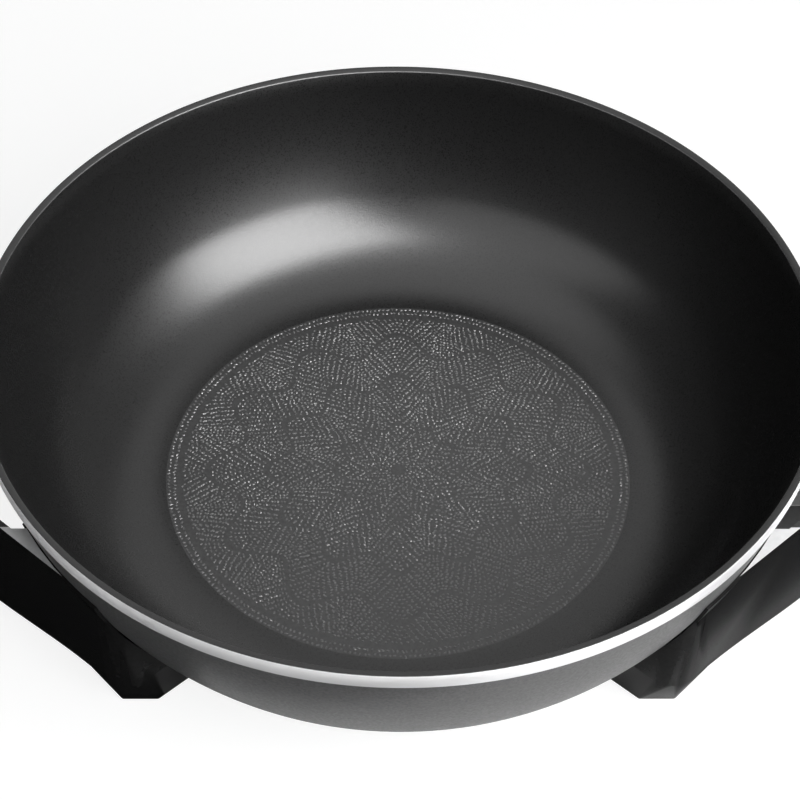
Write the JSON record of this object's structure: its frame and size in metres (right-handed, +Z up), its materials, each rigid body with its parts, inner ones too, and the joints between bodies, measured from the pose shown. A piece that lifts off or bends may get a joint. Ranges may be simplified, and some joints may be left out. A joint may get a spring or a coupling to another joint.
{
  "type": "electric wok",
  "caption": "Deep round electric cooking pan on moulded handle-legs, with a heater cast under its floor and a plug-in temperature control with a turning dial.",
  "frame": {"origin": "on the table under the pan's centre, midway between the outer ends of the two handles", "axes": "+X towards the handle with the temperature control, +Z up, -Y towards the viewer of the picture"},
  "size_m": [0.444, 0.34, 0.119],
  "materials": {
    "coated_pan": "satin black non-stick coating over cast metal",
    "heater_steel": "dull sheath",
    "nickel_brass": "bright",
    "white_ceramic": "matte",
    "zinc_sheet": "satin",
    "zinc_steel": "zinc plated",
    "black_phenolic": "satin",
    "black_rubber": "matte",
    "control_plastic": "fine grain",
    "probe_steel": "bright",
    "contact_brass": "bright",
    "bimetal_strip": "dull",
    "lamp_glass": "clear",
    "red_lens": "gloss",
    "dial_plastic": "satin"
  },
  "bodies": {
    "wok": {"pan": "coated_pan", "heating_element": "heater_steel", "front_terminal_pin": "nickel_brass", "rear_terminal_pin": "nickel_brass", "front_pin_insulator": "white_ceramic", "rear_pin_insulator": "white_ceramic", "inlet_guard": "zinc_sheet", "inlet_guard_screws": "zinc_steel", "left_handle": "black_phenolic", "right_handle": "black_phenolic", "handle_screws": "zinc_steel", "handle_washers": "zinc_steel", "front_left_foot": "black_rubber", "rear_left_foot": "black_rubber", "front_right_foot": "black_rubber", "rear_right_foot": "black_rubber"},
    "control": {"control_base": "control_plastic", "control_cover": "control_plastic", "control_screws": "zinc_steel", "sensor_probe": "probe_steel", "front_contact_sleeve": "contact_brass", "rear_contact_sleeve": "contact_brass", "earth_contact": "contact_brass", "thermostat_block": "white_ceramic", "bimetal_blade": "bimetal_strip", "moving_contact": "contact_brass", "fixed_contact": "contact_brass", "indicator_lamp": "lamp_glass", "indicator_lens": "red_lens", "cord_gland": "black_rubber"},
    "dial": {"dial_spindle": "probe_steel", "control_dial": "dial_plastic"}
  },
  "joints": [
    {"name": "control_pull", "type": "slide", "parent": "wok", "child": "control", "axis": [1, 0, 0], "range_m": [0, 0.1]},
    {"name": "dial_turn", "type": "hinge", "parent": "control", "child": "dial", "pos_m": [0.178, 0, 0.05], "axis": [0, 0, -1], "range_deg": [0, 270]}
  ]
}
